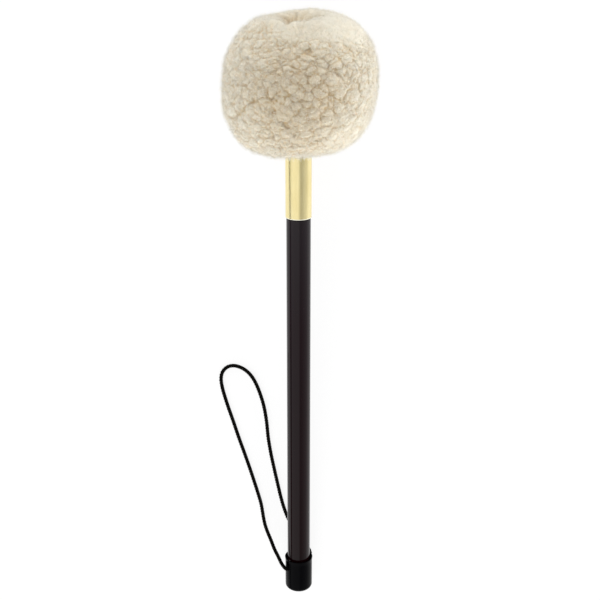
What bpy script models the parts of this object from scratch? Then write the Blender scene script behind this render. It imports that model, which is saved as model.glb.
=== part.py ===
"""Gong mallet lying on a table: a fleece-covered ball head on a dark tube, with an end cap and a wrist cord.

Run it with blender --background --python part.py, or from Blender's text editor.
Every piece is modelled upright, its own Z along the handle from the butt to the head,
and hangs from one empty that lays the mallet on the floor plane, head towards +Y.
In that lying frame a local height "up" is minus the local Y.
"""

import math

import bmesh
import bpy
from mathutils import Matrix, Vector

MM = 0.001
GAP = 0.3 * MM  # what touching pieces keep between them

# Handle tube, foil sleeve and the hardwood plug in the tube's top
TUBE_R = 8.0 * MM
TUBE_WALL = 1.5 * MM
LABEL_LENGTH = 47.4 * MM
LABEL_TUCK = 8.1 * MM  # how far the sleeve runs up inside the head's neck
LABEL_WALL = 0.3 * MM
LABEL_EASE = 0.2 * MM
PLUG_LENGTH = 32.0 * MM

# End cap, with the slots that the cord comes out of
CAP_R = 9.6 * MM
CAP_LENGTH = 27.3 * MM
CAP_FLOOR = 2.5 * MM
CAP_EDGE = 3.2 * MM
LIP_HEIGHT = 3.4 * MM
LIP_WALL = 0.6 * MM
LIP_FLARE = 0.5 * MM  # how far the lip's rim stands out past the cap's side
SLOT_WIDTH = 4.4 * MM
SLOT_LOW = 16.6 * MM
SLOT_HIGH = 25.9 * MM
SLOT_TURN = math.radians(-57.0)  # from the top of the lying tube, towards -X

# Wrist cord and its knot inside the tube
CORD_R = 1.0 * MM
KNOT_R = 3.1 * MM
KNOT_LENGTH = 8.6 * MM
KNOT_RIDGES = 3

# Head, from its middle outwards
HEAD_MIDDLE = 364.5 * MM
CORE_R = 26.0 * MM
CORE_LENGTH = 44.0 * MM
CORE_ROUND = 4.0 * MM
CORE_SEAT = 6.0 * MM  # the shoulder the tube's end meets, above the head's middle
POCKET_R = 10.3 * MM
POCKET_DEPTH = 8.0 * MM
SCREW_R = 2.0 * MM
SCREW_HEAD_R = 4.2 * MM
SCREW_HEAD_HEIGHT = 3.0 * MM
SCREW_LENGTH = 34.0 * MM
SCREW_POINT = 4.0 * MM
WASHER_THICK = 1.5 * MM
FELT_THICK = 3.0 * MM
FELT_SPACE = 0.45 * MM
FELT_TURNS = 3
PAD_HALF = 33.0 * MM
PAD_POWER = 3.2
HEAD_R = 49.0 * MM
HEAD_HALF = 45.6 * MM
HEAD_POWER = 2.6
SQUASH = 2.0 * MM  # how far the pile flattens where the head rests

# Gathered ends of the cover and the strings that draw them in
MOUTH_R = 3.0 * MM
DIMPLE_DEPTH = 9.5 * MM
DIMPLE_R = 15.0 * MM
FOLDS = 8
FOLD_DEPTH = 2.2 * MM
NECK_TUCK = 3.0 * MM
NECK_TUCK_R = 9.0 * MM
STRING_R = 0.8 * MM
HEM = 3.0 * MM

# The photographed route of the cord on the floor, from the front slot round to under the
# handle: across, along and up, in millimetres from the object's origin
CORD_ROUTE = [
    (-11.9, -183.5, 16.2),
    (-14.8, -178.5, 13.6),
    (-17.7, -173.9, 10.2),
    (-20.0, -169.0, 7.2),
    (-22.5, -163.9, 4.5),
    (-24.5, -158.7, 2.4),
    (-25.7, -152.8, 1.3),
    (-26.6, -146.7, 1.0),
    (-27.8, -140.5, 1.0),
    (-31.3, -128.0, 1.0),
    (-35.0, -115.6, 1.0),
    (-38.9, -103.3, 1.0),
    (-42.9, -91.1, 1.0),
    (-46.6, -79.0, 1.0),
    (-50.4, -67.0, 1.0),
    (-53.6, -55.3, 1.0),
    (-54.6, -47.5, 1.0),
    (-53.3, -42.3, 1.0),
    (-49.9, -38.9, 1.0),
    (-45.6, -38.0, 1.0),
    (-40.9, -39.2, 1.0),
    (-36.3, -42.2, 1.0),
    (-32.2, -47.2, 1.0),
    (-28.6, -54.9, 1.0),
    (-25.0, -66.6, 1.0),
    (-22.9, -79.0, 1.0),
    (-21.8, -91.1, 1.0),
    (-20.0, -103.3, 1.0),
    (-17.6, -115.6, 1.0),
    (-15.0, -128.0, 1.0),
    (-12.2, -140.5, 1.0),
    (-8.8, -151.5, 1.0),
    (-4.4, -160.4, 1.0),
    (0.6, -168.0, 1.1),
    (4.3, -173.2, 1.5),
    (6.7, -176.6, 2.7),
]
CORD_STEP = 5.0 * MM

RING_STEPS = 48
SMALL_STEPS = 32
COVER_STEPS = 32

# Sizes that follow from the ones above
PAD_R = CORE_R + GAP + FELT_TURNS * (FELT_THICK + FELT_SPACE) + FELT_THICK
TUBE_TOP = HEAD_MIDDLE + CORE_SEAT - GAP
CORD_LEVEL = SLOT_LOW + CORD_R + GAP
HEAD_TOP = HEAD_MIDDLE + HEAD_HALF
LABEL_HIGH = HEAD_MIDDLE - HEAD_HALF + LABEL_TUCK
LABEL_LOW = LABEL_HIGH - LABEL_LENGTH

# The lean that puts the cap's edge and the flattened pile on the floor together
REACH = HEAD_MIDDLE - CAP_EDGE
DROP = HEAD_R - CAP_R + CAP_EDGE
LEAN = math.atan2(DROP, REACH) - math.asin((SQUASH + CAP_EDGE) / math.hypot(REACH, DROP))
AXIS_UP = CAP_EDGE + (CAP_R - CAP_EDGE) * math.cos(LEAN) - CAP_EDGE * math.sin(LEAN)
AXIS_BACK = HEAD_TOP * math.cos(LEAN) / 2


def clear_scene():
    for obj in list(bpy.data.objects):
        bpy.data.objects.remove(obj, do_unlink=True)


def make_frame():
    """The empty at the butt's middle, turned so that its Z runs up the leaning handle."""
    frame = bpy.data.objects.new("mallet_frame", None)
    frame.empty_display_size = 30 * MM
    frame.location = (0.0, -AXIS_BACK, AXIS_UP)
    frame.rotation_euler = (LEAN - math.pi / 2, 0.0, 0.0)
    bpy.context.scene.collection.objects.link(frame)
    bpy.context.view_layer.update()
    return frame


def material(name, colour, roughness, metallic=0.0):
    made = bpy.data.materials.new(name)
    made.use_nodes = True
    shader = made.node_tree.nodes["Principled BSDF"]
    shader.inputs["Base Color"].default_value = (*colour, 1.0)
    shader.inputs["Roughness"].default_value = roughness
    shader.inputs["Metallic"].default_value = metallic
    made.diffuse_color = (*colour, 1.0)
    return made


def add_object(name, data, look, parent):
    data.materials.append(look)
    obj = bpy.data.objects.new(name, data)
    obj.parent = parent
    bpy.context.scene.collection.objects.link(obj)
    return obj


def add_mesh(name, bm, look, parent, smooth=True):
    """Closes a bmesh into an object, with round sides smooth and edges kept sharp."""
    bmesh.ops.recalc_face_normals(bm, faces=bm.faces)
    mesh = bpy.data.meshes.new(name)
    bm.to_mesh(mesh)
    bm.free()
    if smooth:
        mesh.shade_smooth()
        mesh.set_sharp_from_angle(angle=math.radians(35))
    return add_object(name, mesh, look, parent)


def turned(outline, steps):
    """A bmesh of an outline of (radius, height) points turned round Z.

    An outline that starts and ends on the axis stays open there, and any other is closed.
    """
    bm = bmesh.new()
    corners = [bm.verts.new((radius, 0.0, height)) for radius, height in outline]
    links = list(zip(corners, corners[1:]))
    if outline[0][0] > 0.0:
        links.append((corners[-1], corners[0]))
    edges = [bm.edges.new(link) for link in links]
    bmesh.ops.spin(
        bm,
        geom=corners + edges,
        cent=(0.0, 0.0, 0.0),
        axis=(0.0, 0.0, 1.0),
        angle=math.tau,
        steps=steps,
        use_merge=True,
    )
    bmesh.ops.remove_doubles(bm, verts=bm.verts, dist=1e-7)
    return bm


def arc(radius, height, size, first, last, steps=4):
    """Points of a quarter or part round, as (radius, height), between two angles in degrees."""
    points = []
    for i in range(steps + 1):
        angle = math.radians(first + (last - first) * i / steps)
        points.append((radius + size * math.cos(angle), height + size * math.sin(angle)))
    return points


def slot_direction():
    """Unit vector across the tube, out of the front slot."""
    return Vector((math.sin(SLOT_TURN), -math.cos(SLOT_TURN), 0.0))


def make_slot_cutter(frame):
    """A bar with round ends that cuts both slots, straight through the tube and the cap."""
    half_width = SLOT_WIDTH / 2
    low = SLOT_LOW + half_width
    high = SLOT_HIGH - half_width
    outline = arc(0.0, high, half_width, 0, 180, 8) + arc(0.0, low, half_width, 180, 360, 8)
    reach = CAP_R * 1.3
    bm = bmesh.new()
    face = bm.faces.new([bm.verts.new((x, -reach, z)) for x, z in outline])
    grown = bmesh.ops.extrude_face_region(bm, geom=[face])
    moved = [item for item in grown["geom"] if isinstance(item, bmesh.types.BMVert)]
    bmesh.ops.translate(bm, verts=moved, vec=(0.0, 2 * reach, 0.0))
    bmesh.ops.rotate(bm, verts=bm.verts, cent=(0, 0, 0), matrix=Matrix.Rotation(SLOT_TURN, 3, "Z"))
    cutter = add_mesh("slot_cutter", bm, material("cutter", (0.8, 0.2, 0.2), 0.5), frame, smooth=False)
    cutter.hide_render = True
    cutter.display_type = "WIRE"
    return cutter


def cut(obj, cutter):
    boolean = obj.modifiers.new("slots", "BOOLEAN")
    boolean.operation = "DIFFERENCE"
    boolean.solver = "EXACT"
    boolean.object = cutter


def make_tube(frame, cutter):
    bore = TUBE_R - TUBE_WALL
    low = CAP_FLOOR + GAP
    outline = [(TUBE_R, low), (TUBE_R, TUBE_TOP), (bore, TUBE_TOP), (bore, low)]
    lacquer = material("dark_lacquer", (0.012, 0.010, 0.011), 0.16)
    tube = add_mesh("handle_tube", turned(outline, RING_STEPS), lacquer, frame)
    cut(tube, cutter)


def make_label(frame):
    inner = TUBE_R + LABEL_EASE
    outer = inner + LABEL_WALL
    outline = [(outer, LABEL_LOW), (outer, LABEL_HIGH), (inner, LABEL_HIGH), (inner, LABEL_LOW)]
    foil = material("gold_foil", (0.86, 0.68, 0.34), 0.22, 1.0)
    add_mesh("label_sleeve", turned(outline, RING_STEPS), foil, frame)


def make_cap(frame, cutter):
    """Moulded cap: a floor with a rounded edge, a close wall and a thin lip that flares off the tube."""
    bore = TUBE_R + GAP
    rim = CAP_R + LIP_FLARE
    outline = [(0.0, 0.0)]
    outline += arc(CAP_R - CAP_EDGE, CAP_EDGE, CAP_EDGE, -90, 0, 5)
    outline += [
        (CAP_R, CAP_LENGTH - LIP_HEIGHT),
        (rim, CAP_LENGTH),
        (rim - LIP_WALL, CAP_LENGTH),
        (bore, CAP_LENGTH - LIP_HEIGHT),
        (bore, CAP_FLOOR),
        (0.0, CAP_FLOOR),
    ]
    vinyl = material("black_vinyl", (0.009, 0.009, 0.010), 0.24)
    cap = add_mesh("end_cap", turned(outline, RING_STEPS), vinyl, frame)
    cut(cap, cutter)


def make_plug(frame):
    """Hardwood plug in the tube's top, bored for the screw."""
    outer = TUBE_R - TUBE_WALL - GAP
    hole = SCREW_R + GAP
    low = TUBE_TOP - PLUG_LENGTH
    screw_end = washer_level() + WASHER_THICK + GAP - SCREW_LENGTH
    outline = [
        (0.0, low),
        (outer, low),
        (outer, TUBE_TOP),
        (hole, TUBE_TOP),
        (hole, screw_end - GAP),
        (0.0, screw_end - GAP),
    ]
    wood = material("beech", (0.55, 0.36, 0.19), 0.6)
    add_mesh("tip_plug", turned(outline, SMALL_STEPS), wood, frame)


def washer_level():
    """Height of the washer's underside, on the floor of the core's pocket."""
    return HEAD_MIDDLE + CORE_LENGTH / 2 - POCKET_DEPTH + GAP


def make_core(frame):
    """Turned weight: it seats on the tube's end and takes the washer in a pocket on top."""
    low = HEAD_MIDDLE - CORE_LENGTH / 2
    high = HEAD_MIDDLE + CORE_LENGTH / 2
    edge = CORE_R - CORE_ROUND
    outline = arc(edge, low + CORE_ROUND, CORE_ROUND, -90, 0)
    outline += arc(edge, high - CORE_ROUND, CORE_ROUND, 0, 90)
    outline += [
        (POCKET_R, high),
        (POCKET_R, high - POCKET_DEPTH),
        (SCREW_R + GAP, high - POCKET_DEPTH),
        (SCREW_R + GAP, HEAD_MIDDLE + CORE_SEAT),
        (TUBE_R + GAP, HEAD_MIDDLE + CORE_SEAT),
        (TUBE_R + GAP, low),
    ]
    rubber = material("core_rubber", (0.05, 0.045, 0.04), 0.7)
    add_mesh("core", turned(outline, COVER_STEPS), rubber, frame)


def make_fastening(frame):
    """Washer and pan-head screw that draw the core onto the tube's end."""
    steel = material("zinc_steel", (0.62, 0.62, 0.60), 0.35, 1.0)
    low = washer_level()
    high = low + WASHER_THICK
    hole = SCREW_R + GAP
    outer = POCKET_R - GAP
    ring = [(outer, low), (outer, high), (hole, high), (hole, low)]
    add_mesh("core_washer", turned(ring, SMALL_STEPS), steel, frame)

    seat = high + GAP
    tip = seat - SCREW_LENGTH
    crown = seat + SCREW_HEAD_HEIGHT
    outline = [
        (0.0, tip),
        (SCREW_R, tip + SCREW_POINT),
        (SCREW_R, seat),
        (SCREW_HEAD_R, seat),
        (SCREW_HEAD_R, crown - SCREW_HEAD_HEIGHT / 2),
        (SCREW_HEAD_R * 0.62, crown),
        (0.0, crown),
    ]
    add_mesh("core_screw", turned(outline, SMALL_STEPS), steel, frame)


def pad_half(radius):
    """Half height of the felt mass at a radius, a rounded box that closes just past PAD_R."""
    share = min(radius / (PAD_R * 1.03), 1.0)
    return PAD_HALF * (1.0 - share**PAD_POWER) ** (1.0 / PAD_POWER)


def make_felt_discs(frame):
    """A domed felt disc over each end of the core, the lower one pierced for the tube."""
    felt = material("wool_felt", (0.62, 0.58, 0.50), 0.95)
    flat = CORE_LENGTH / 2 + GAP
    domed = [CORE_R * share for share in (1.0, 0.9, 0.75, 0.55, 0.3)]
    top = [(0.0, HEAD_MIDDLE + flat), (CORE_R, HEAD_MIDDLE + flat)]
    top += [(radius, HEAD_MIDDLE + pad_half(radius)) for radius in domed]
    top.append((0.0, HEAD_MIDDLE + pad_half(0.0)))
    add_mesh("felt_disc_top", turned(top, COVER_STEPS), felt, frame)

    hole = TUBE_R + LABEL_EASE + LABEL_WALL + GAP
    bottom = [(hole, HEAD_MIDDLE - flat), (CORE_R, HEAD_MIDDLE - flat)]
    bottom += [(radius, HEAD_MIDDLE - pad_half(radius)) for radius in domed if radius > hole]
    bottom.append((hole, HEAD_MIDDLE - pad_half(hole)))
    add_mesh("felt_disc_bottom", turned(bottom, COVER_STEPS), felt, frame)


def make_felt_wrap(frame):
    """One tapered felt strip wound round the core, each turn lying on the one below.

    Round the spiral the inner face's radius grows by a strip and its space each turn,
    and the strip's width shrinks so that its edges follow the rounded end of the pad.
    """
    around = 28
    stations = FELT_TURNS * around
    bm = bmesh.new()
    rings = []
    for i in range(stations + 1):
        turns = i / around
        angle = math.tau * turns
        inner = CORE_R + GAP + turns * (FELT_THICK + FELT_SPACE)
        outer = inner + FELT_THICK
        ring = []
        for radius, side in ((inner, -1), (outer, -1), (outer, 1), (inner, 1)):
            height = HEAD_MIDDLE + side * pad_half(radius)
            ring.append(bm.verts.new((radius * math.cos(angle), radius * math.sin(angle), height)))
        rings.append(ring)
    for near, far in zip(rings, rings[1:]):
        for a in range(4):
            b = (a + 1) % 4
            bm.faces.new((near[a], near[b], far[b], far[a]))
    bm.faces.new(rings[0])
    bm.faces.new(rings[-1])
    felt = material("wound_felt", (0.66, 0.62, 0.54), 0.95)
    add_mesh("felt_wrap", bm, felt, frame)


def cover_height(radius):
    """Half height of the cover's outside at a radius: a rounded box turned round the handle."""
    share = min(radius / HEAD_R, 1.0)
    return HEAD_HALF * (1.0 - share**HEAD_POWER) ** (1.0 / HEAD_POWER)


def top_of(radius):
    """Height of the cover's top above the head's middle, with the drawn-in dimple."""
    return cover_height(radius) - DIMPLE_DEPTH * math.exp(-((radius / DIMPLE_R) ** 2))


def neck_of(radius):
    """Depth of the cover's underside below the head's middle, tucked in round the neck."""
    return cover_height(radius) - NECK_TUCK * math.exp(-(((radius - TUBE_R) / NECK_TUCK_R) ** 2))


def hem(hole, level):
    """The string's channel round a gathered hole, as outline points from its low to its high side."""
    depth = hole + 2 * (STRING_R + GAP)
    half = STRING_R + GAP
    return [(hole, level - half), (depth, level - half), (depth, level + half), (hole, level + half)]


def neck_hole():
    return TUBE_R + LABEL_EASE + LABEL_WALL + GAP


def hem_levels():
    """Heights of the strings: one in the mouth at the top, one in the neck below."""
    high = HEAD_MIDDLE + top_of(MOUTH_R) - HEM / 2
    low = HEAD_MIDDLE - neck_of(neck_hole()) + HEM
    return high, low


def cover_outline():
    """The cover's section, from the mouth over the outside to the neck, then back up the inside."""
    high, low = hem_levels()
    across = [0.15, 0.31, 0.48, 0.64, 0.78, 0.89, 0.96, 0.992]
    outline = [(MOUTH_R, HEAD_MIDDLE + top_of(MOUTH_R))]
    outline += [(HEAD_R * share, HEAD_MIDDLE + top_of(HEAD_R * share)) for share in across]
    outline.append((HEAD_R, HEAD_MIDDLE))
    beneath = [share for share in reversed(across) if HEAD_R * share > neck_hole() + MM]
    outline += [(HEAD_R * share, HEAD_MIDDLE - neck_of(HEAD_R * share)) for share in beneath]
    outline.append((neck_hole(), HEAD_MIDDLE - neck_of(neck_hole())))
    outline += hem(neck_hole(), low)

    room = 3 * GAP
    inside = [PAD_R * share for share in (0.4, 0.64, 0.83, 0.94, 1.0)]
    outline.append((neck_hole(), HEAD_MIDDLE - pad_half(0.0) - room))
    outline += [(radius + GAP, HEAD_MIDDLE - pad_half(radius) - room) for radius in inside]
    outline += [(radius + GAP, HEAD_MIDDLE + pad_half(radius) + room) for radius in reversed(inside)]
    outline.append((MOUTH_R, HEAD_MIDDLE + pad_half(0.0) + room))
    outline += hem(MOUTH_R, high)
    return outline


def make_cover(frame):
    """The fleece cover: turned, then gathered into folds at the mouth and flattened on the floor."""
    bm = turned(cover_outline(), COVER_STEPS)
    for corner in bm.verts:
        across = math.hypot(corner.co.x, corner.co.y)
        on_top = abs(corner.co.z - HEAD_MIDDLE - top_of(across)) < GAP
        if on_top and across > MOUTH_R + GAP:
            turn = math.atan2(corner.co.y, corner.co.x)
            drawn = math.exp(-(((across - DIMPLE_R) / (0.8 * DIMPLE_R)) ** 2))
            corner.co.z += FOLD_DEPTH * drawn * math.cos(FOLDS * turn)
        up = AXIS_UP + corner.co.z * math.sin(LEAN) - corner.co.y * math.cos(LEAN)
        if up < 0.0:
            corner.co.y += up / math.cos(LEAN)
    fleece = material("cream_fleece", (0.80, 0.74, 0.64), 0.95)
    add_mesh("fleece_cover", bm, fleece, frame)


def make_strings(frame):
    """The two gathering strings, each a ring in its hem."""
    look = material("waxed_string", (0.70, 0.65, 0.55), 0.8)
    high, low = hem_levels()
    for name, hole, level in (("top_drawstring", MOUTH_R, high), ("neck_drawstring", neck_hole(), low)):
        bpy.ops.mesh.primitive_torus_add(
            major_radius=hole + GAP + STRING_R,
            minor_radius=STRING_R,
            major_segments=SMALL_STEPS,
            minor_segments=8,
            location=(0.0, 0.0, level),
        )
        ring = bpy.context.object
        ring.name = name
        ring.data.name = name
        ring.parent = frame
        ring.data.materials.append(look)


def make_knot(frame, look):
    """Barrel knot across the tube's bore: turns of cord side by side, with a flat end for each strand."""
    half = KNOT_LENGTH / 2
    body = half - CORD_R
    ridge = body / KNOT_RIDGES
    outline = [(0.0, -half), (CORD_R, -half), (CORD_R, -body)]
    for i in range(KNOT_RIDGES):
        middle = -body + ridge * (2 * i + 1)
        outline += arc(KNOT_R - ridge, middle, ridge, -75, 75, 4)
    outline += [(CORD_R, body), (CORD_R, half), (0.0, half)]
    knot = add_mesh("cord_knot", turned(outline, 20), look, frame)
    knot.location = (0.0, 0.0, CORD_LEVEL)
    knot.rotation_euler = slot_direction().to_track_quat("Z", "Y").to_euler()


def smooth_route(corners, step):
    """Points every step or so along the smooth curve through the corners."""
    padded = [2 * corners[0] - corners[1], *corners, 2 * corners[-1] - corners[-2]]
    points = [corners[0]]
    for before, start, end, after in zip(padded, padded[1:], padded[2:], padded[3:]):
        count = max(1, round((end - start).length / step))
        for i in range(1, count + 1):
            t = i / count
            point = (
                (2 * start)
                + (end - before) * t
                + (2 * before - 5 * start + 4 * end - after) * t**2
                + (3 * start - before - 3 * end + after) * t**3
            ) / 2
            points.append(point)
    return points


def cord_corners(frame):
    """Where the cord runs: out of the front slot, round the photographed loop, in at the back slot."""
    out = slot_direction()
    start = KNOT_LENGTH / 2 + GAP
    lifted = Vector((0.0, 0.0, CORD_LEVEL))
    place = frame.matrix_world
    back = -out
    low = Vector((0.0, 0.0, 1.0)).cross(back)
    along = Vector((0.0, 0.0, 1.0))
    leave = [lifted + out * start, lifted + out * TUBE_R, lifted + out * (CAP_R + CORD_R)]
    clear = CAP_R + CORD_R + GAP
    enter = [
        lifted + back * clear + low * 1.6 * MM + along * 5.6 * MM,
        lifted + back * (CAP_R - 0.2 * MM) + low * 0.4 * MM + along * 2.4 * MM,
        lifted + back * (TUBE_R - TUBE_WALL / 2) + along * 0.6 * MM,
        lifted + back * start,
    ]
    route = [Vector(point) * MM for point in CORD_ROUTE]
    return [place @ point for point in leave] + route + [place @ point for point in enter]


def make_cord(frame, look):
    """The free cord, lying in the origin's own frame and not in the leaning one."""
    points = smooth_route(cord_corners(frame), CORD_STEP)
    data = bpy.data.curves.new("wrist_cord", "CURVE")
    data.dimensions = "3D"
    data.bevel_depth = CORD_R
    data.bevel_resolution = 2
    data.use_fill_caps = True
    spline = data.splines.new("POLY")
    spline.points.add(len(points) - 1)
    for place, point in zip(spline.points, points):
        place.co = (*point, 1.0)
    add_object("wrist_cord", data, look, None)
    length = sum((b - a).length for a, b in zip(points, points[1:]))
    print(f"wrist_cord: {len(points)} points, {length / MM:.1f} mm")


def main():
    clear_scene()
    frame = make_frame()
    cutter = make_slot_cutter(frame)
    make_tube(frame, cutter)
    make_label(frame)
    make_cap(frame, cutter)
    make_plug(frame)
    make_core(frame)
    make_fastening(frame)
    make_felt_discs(frame)
    make_felt_wrap(frame)
    make_cover(frame)
    make_strings(frame)
    braid = material("black_braid", (0.010, 0.010, 0.010), 0.6)
    make_knot(frame, braid)
    make_cord(frame, braid)


main()
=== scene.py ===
"""Looks of the gong mallet: fleece head, foil sleeve, lacquered handle, cap and braided wrist cord.

Everything is placed in the handle's own directions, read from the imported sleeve: across
(+X), along (butt to head) and up. A station is a distance along the handle from its butt.
Lengths are in millimetres until place() or MM turns them into metres.
"""

import itertools
import math

import bmesh
import bpy
import numpy as np
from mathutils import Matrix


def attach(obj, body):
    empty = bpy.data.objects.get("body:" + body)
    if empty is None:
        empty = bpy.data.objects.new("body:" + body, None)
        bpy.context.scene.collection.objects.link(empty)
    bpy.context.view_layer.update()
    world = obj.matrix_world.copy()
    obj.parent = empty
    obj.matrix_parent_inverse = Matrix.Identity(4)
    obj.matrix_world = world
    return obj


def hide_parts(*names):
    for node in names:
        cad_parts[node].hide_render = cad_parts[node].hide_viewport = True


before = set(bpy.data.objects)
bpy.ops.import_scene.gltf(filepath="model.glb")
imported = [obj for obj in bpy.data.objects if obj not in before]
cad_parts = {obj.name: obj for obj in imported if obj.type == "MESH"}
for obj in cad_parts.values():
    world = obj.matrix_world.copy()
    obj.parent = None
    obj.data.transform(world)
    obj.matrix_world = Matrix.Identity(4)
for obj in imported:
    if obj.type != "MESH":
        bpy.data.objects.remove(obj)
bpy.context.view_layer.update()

MM = 0.001
GAP = 0.3  # between touching pieces
TINY = 1e-9  # keeps a division by nothing harmless

# Sizes as the solids have them
TUBE_R = 8.0
TUBE_WALL = 1.5
TUBE_TOP = 370.2
LABEL_R = 8.5
LABEL_WALL = 0.3
LABEL_HIGH = 327.0
CAP_R = 9.6
CAP_FLOOR = 2.5
CAP_EDGE = 3.2
LIP_HEIGHT = 3.4
LIP_WALL = 0.6
SLOT_WIDTH = 4.4
SLOT_LOW = 16.6
SLOT_TURN = math.radians(-57.0)
CORD_R = 1.0
KNOT_LENGTH = 8.6
HEAD_MIDDLE = 364.5
HEAD_R = 49.0
HEAD_HALF = 45.6
HEAD_POWER = 2.6
NECK_TUCK = 3.0
NECK_TUCK_R = 9.0
PAD_R = 39.65
PAD_HALF = 33.0
PAD_POWER = 3.2

# Sizes read from the photograph more closely than the solids have them
LABEL_LOW = 280.0
CAP_LENGTH = 25.4
LIP_FLARE = 0.3
SLOT_HIGH = 24.2
DIMPLE_DEPTH = 8.0
DIMPLE_R = 10.5

# Small shapes of the hard pieces
TURN_STEPS = 160  # columns of a turned piece
SHARP_EDGE = math.radians(40.0)
MERGE_DISTANCE, SLIVER = 1e-7, 1e-8  # metres
SLOT_ROOM = 2.0  # how far the slots' bar passes the wall, and the tube's close rings the slots
SLOT_RINGS = 15
CAP_RINGS = 20
CAP_STRAIGHT = 3.0  # how far under the slots the cap's straight rings start
FLARE_PAST = 0.5  # how far past the rim the lip's flare would end
LABEL_ROUND = 0.26
LIP_ROUND = 0.25
FILM_STEP = 0.04  # how far the film's edge, a pale ring of painted highlight, stands out over the foil
# A black ring of painted shadow under the sleeve's lower edge: its inner and outer radius
SHADOW_LINE_RADII = (TUBE_R + 0.03, TUBE_R + 0.16)
SHADOW_LINE_LOW = 0.6  # how far the black ring of painted shadow shows under the sleeve
TRIM_HIGH = 0.5  # how far the painted highlight ring and the painted shadow ring reach up the sleeve
TUBE_RINGS = (90.0, 180.0, 270.0)  # stations of the rings between slots and head

# The photographed route of the cord on the floor, from the object's origin
CORD_ROUTE = [
    (-11.9, -183.5, 16.2),
    (-14.8, -178.5, 13.6),
    (-17.7, -173.9, 10.2),
    (-20.0, -169.0, 7.2),
    (-22.5, -163.9, 4.5),
    (-24.5, -158.7, 2.4),
    (-25.7, -152.8, 1.6),
    (-26.6, -146.7, 1.4),
    (-27.8, -140.5, 1.4),
    (-31.3, -128.0, 1.4),
    (-35.0, -115.6, 1.4),
    (-38.9, -103.3, 1.4),
    (-42.9, -91.1, 1.4),
    (-46.6, -79.0, 1.4),
    (-50.4, -67.0, 1.4),
    (-53.6, -55.3, 1.4),
    (-54.6, -47.5, 1.4),
    (-53.3, -42.3, 1.4),
    (-49.9, -38.9, 1.4),
    (-45.6, -38.0, 1.4),
    (-40.9, -39.2, 1.4),
    (-36.3, -42.2, 1.4),
    (-32.2, -47.2, 1.4),
    (-28.6, -54.9, 1.4),
    (-25.0, -66.6, 1.4),
    (-22.9, -79.0, 1.4),
    (-21.8, -91.1, 1.4),
    (-20.0, -103.3, 1.4),
    (-17.6, -115.6, 1.4),
    (-15.0, -128.0, 1.4),
    (-12.2, -140.5, 1.4),
    (-8.8, -151.5, 1.4),
    (-4.4, -160.4, 1.4),
    (0.6, -168.0, 1.5),
    (4.3, -173.2, 1.8),
    (6.7, -176.6, 2.7),
]
# Its way in at the back slot: out from the axis, down the slot's side and up the handle
CORD_ENTRY = [
    (CAP_R + CORD_R + GAP, 1.6, 5.6),
    (CAP_R - 0.2, 0.4, 2.4),
    (TUBE_R - TUBE_WALL / 2, 0.0, 0.6),
    (KNOT_LENGTH / 2 + GAP, 0.0, 0.0),
]
ROUTE_STEP = 1.0

# The braid: four strands wind each way round a core
BRAID_STEP = 0.25  # between a strand's rings
BRAID_PITCH = 8.0  # length of one turn of a strand
BRAID_CARRIERS = 4  # strands each way
STRAND_SIDES = 6
STRAND_LIFT = 0.92  # from the cord's middle to a strand's, on average
STRAND_WEAVE = 0.24  # how far a strand goes over and under that
STRAND_HALF = (0.50, 0.28)  # half its width and height
CORE_R = 0.74
CORE_SIDES = 8
CORE_STRIDE = 4  # the core has a ring at every fourth path point

# The head's unevenness: its swell at even angles from the +X side round over the top, and the
# top's tilt and sink, each with the distances between which it sets in
HEAD_SWELLS = (0.8, 1.2, 1.8, 2.0, 1.4, 0.4, -0.8, -1.5, -1.2, -1.6, -2.4, -1.8)
HEAD_SWELLS += (-0.8, 0.0, -0.8, -0.4, -1.0, -1.6, -1.9, -2.3, -2.2, -1.8, -1.6, -0.6)
SWELL_FROM = (10.0, 40.0)
HEAD_TILT = 0.13
HEAD_SINK = 0.9
TILT_FROM = (5.0, 40.0)

# The gathered end: the mouth's middle across and up, its pit, and a slow twist of its valleys
MOUTH = (-2.5, -4.5)
MOUTH_R = 1.2
PIT_DEPTH = 4.5
PIT_R = 3.6
TWIST = 6.0
TWIST_RATE = 0.45
END_FROM = (15.0, 30.0)  # heights between which the gathers set in
# The valleys: turn in degrees from the upper side towards +X, depth, width in degrees and how
# far out they reach past their deepest point
VALLEY_START = 7.0
PLEATS = [
    (-21, 2.4, 8, 9.0),
    (30, 1.3, 12, 6.0),
    (98, 3.0, 9, 13.0),
    (128, 1.0, 9, 5.0),
    (168, 2.6, 10, 9.0),
    (200, 1.0, 8, 5.0),
    (234, 3.0, 10, 11.0),
    (262, 1.2, 10, 6.0),
    (290, 2.2, 12, 9.0),
    (320, 1.0, 10, 5.0),
]
# The smooth roll across the end and the notch in it: heights, then places and widths
ROLL_HEIGHT = 1.8
ROLL_LEAN = 28.0
ROLL_UP, ROLL_SLOPE, ROLL_WIDTH = 15.0, 0.15, 6.0
ROLL_ACROSS, ROLL_REACH = -3.0, 27.0
NOTCH_DEPTH = 2.4
NOTCH_ACROSS, NOTCH_WIDTH = -7.0, 3.0
NOTCH_UP, NOTCH_REACH = 11.0, 9.0

# The lining: its rings as shares of the pad's radius, and how its ends turn in
LINING_SHARES = np.array([0.4, 0.64, 0.83, 0.94, 1.0])
LINING_EASE = 1.03
LINING_MOUTH_R = 3.0
LINING_NECK = 4.0

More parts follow.
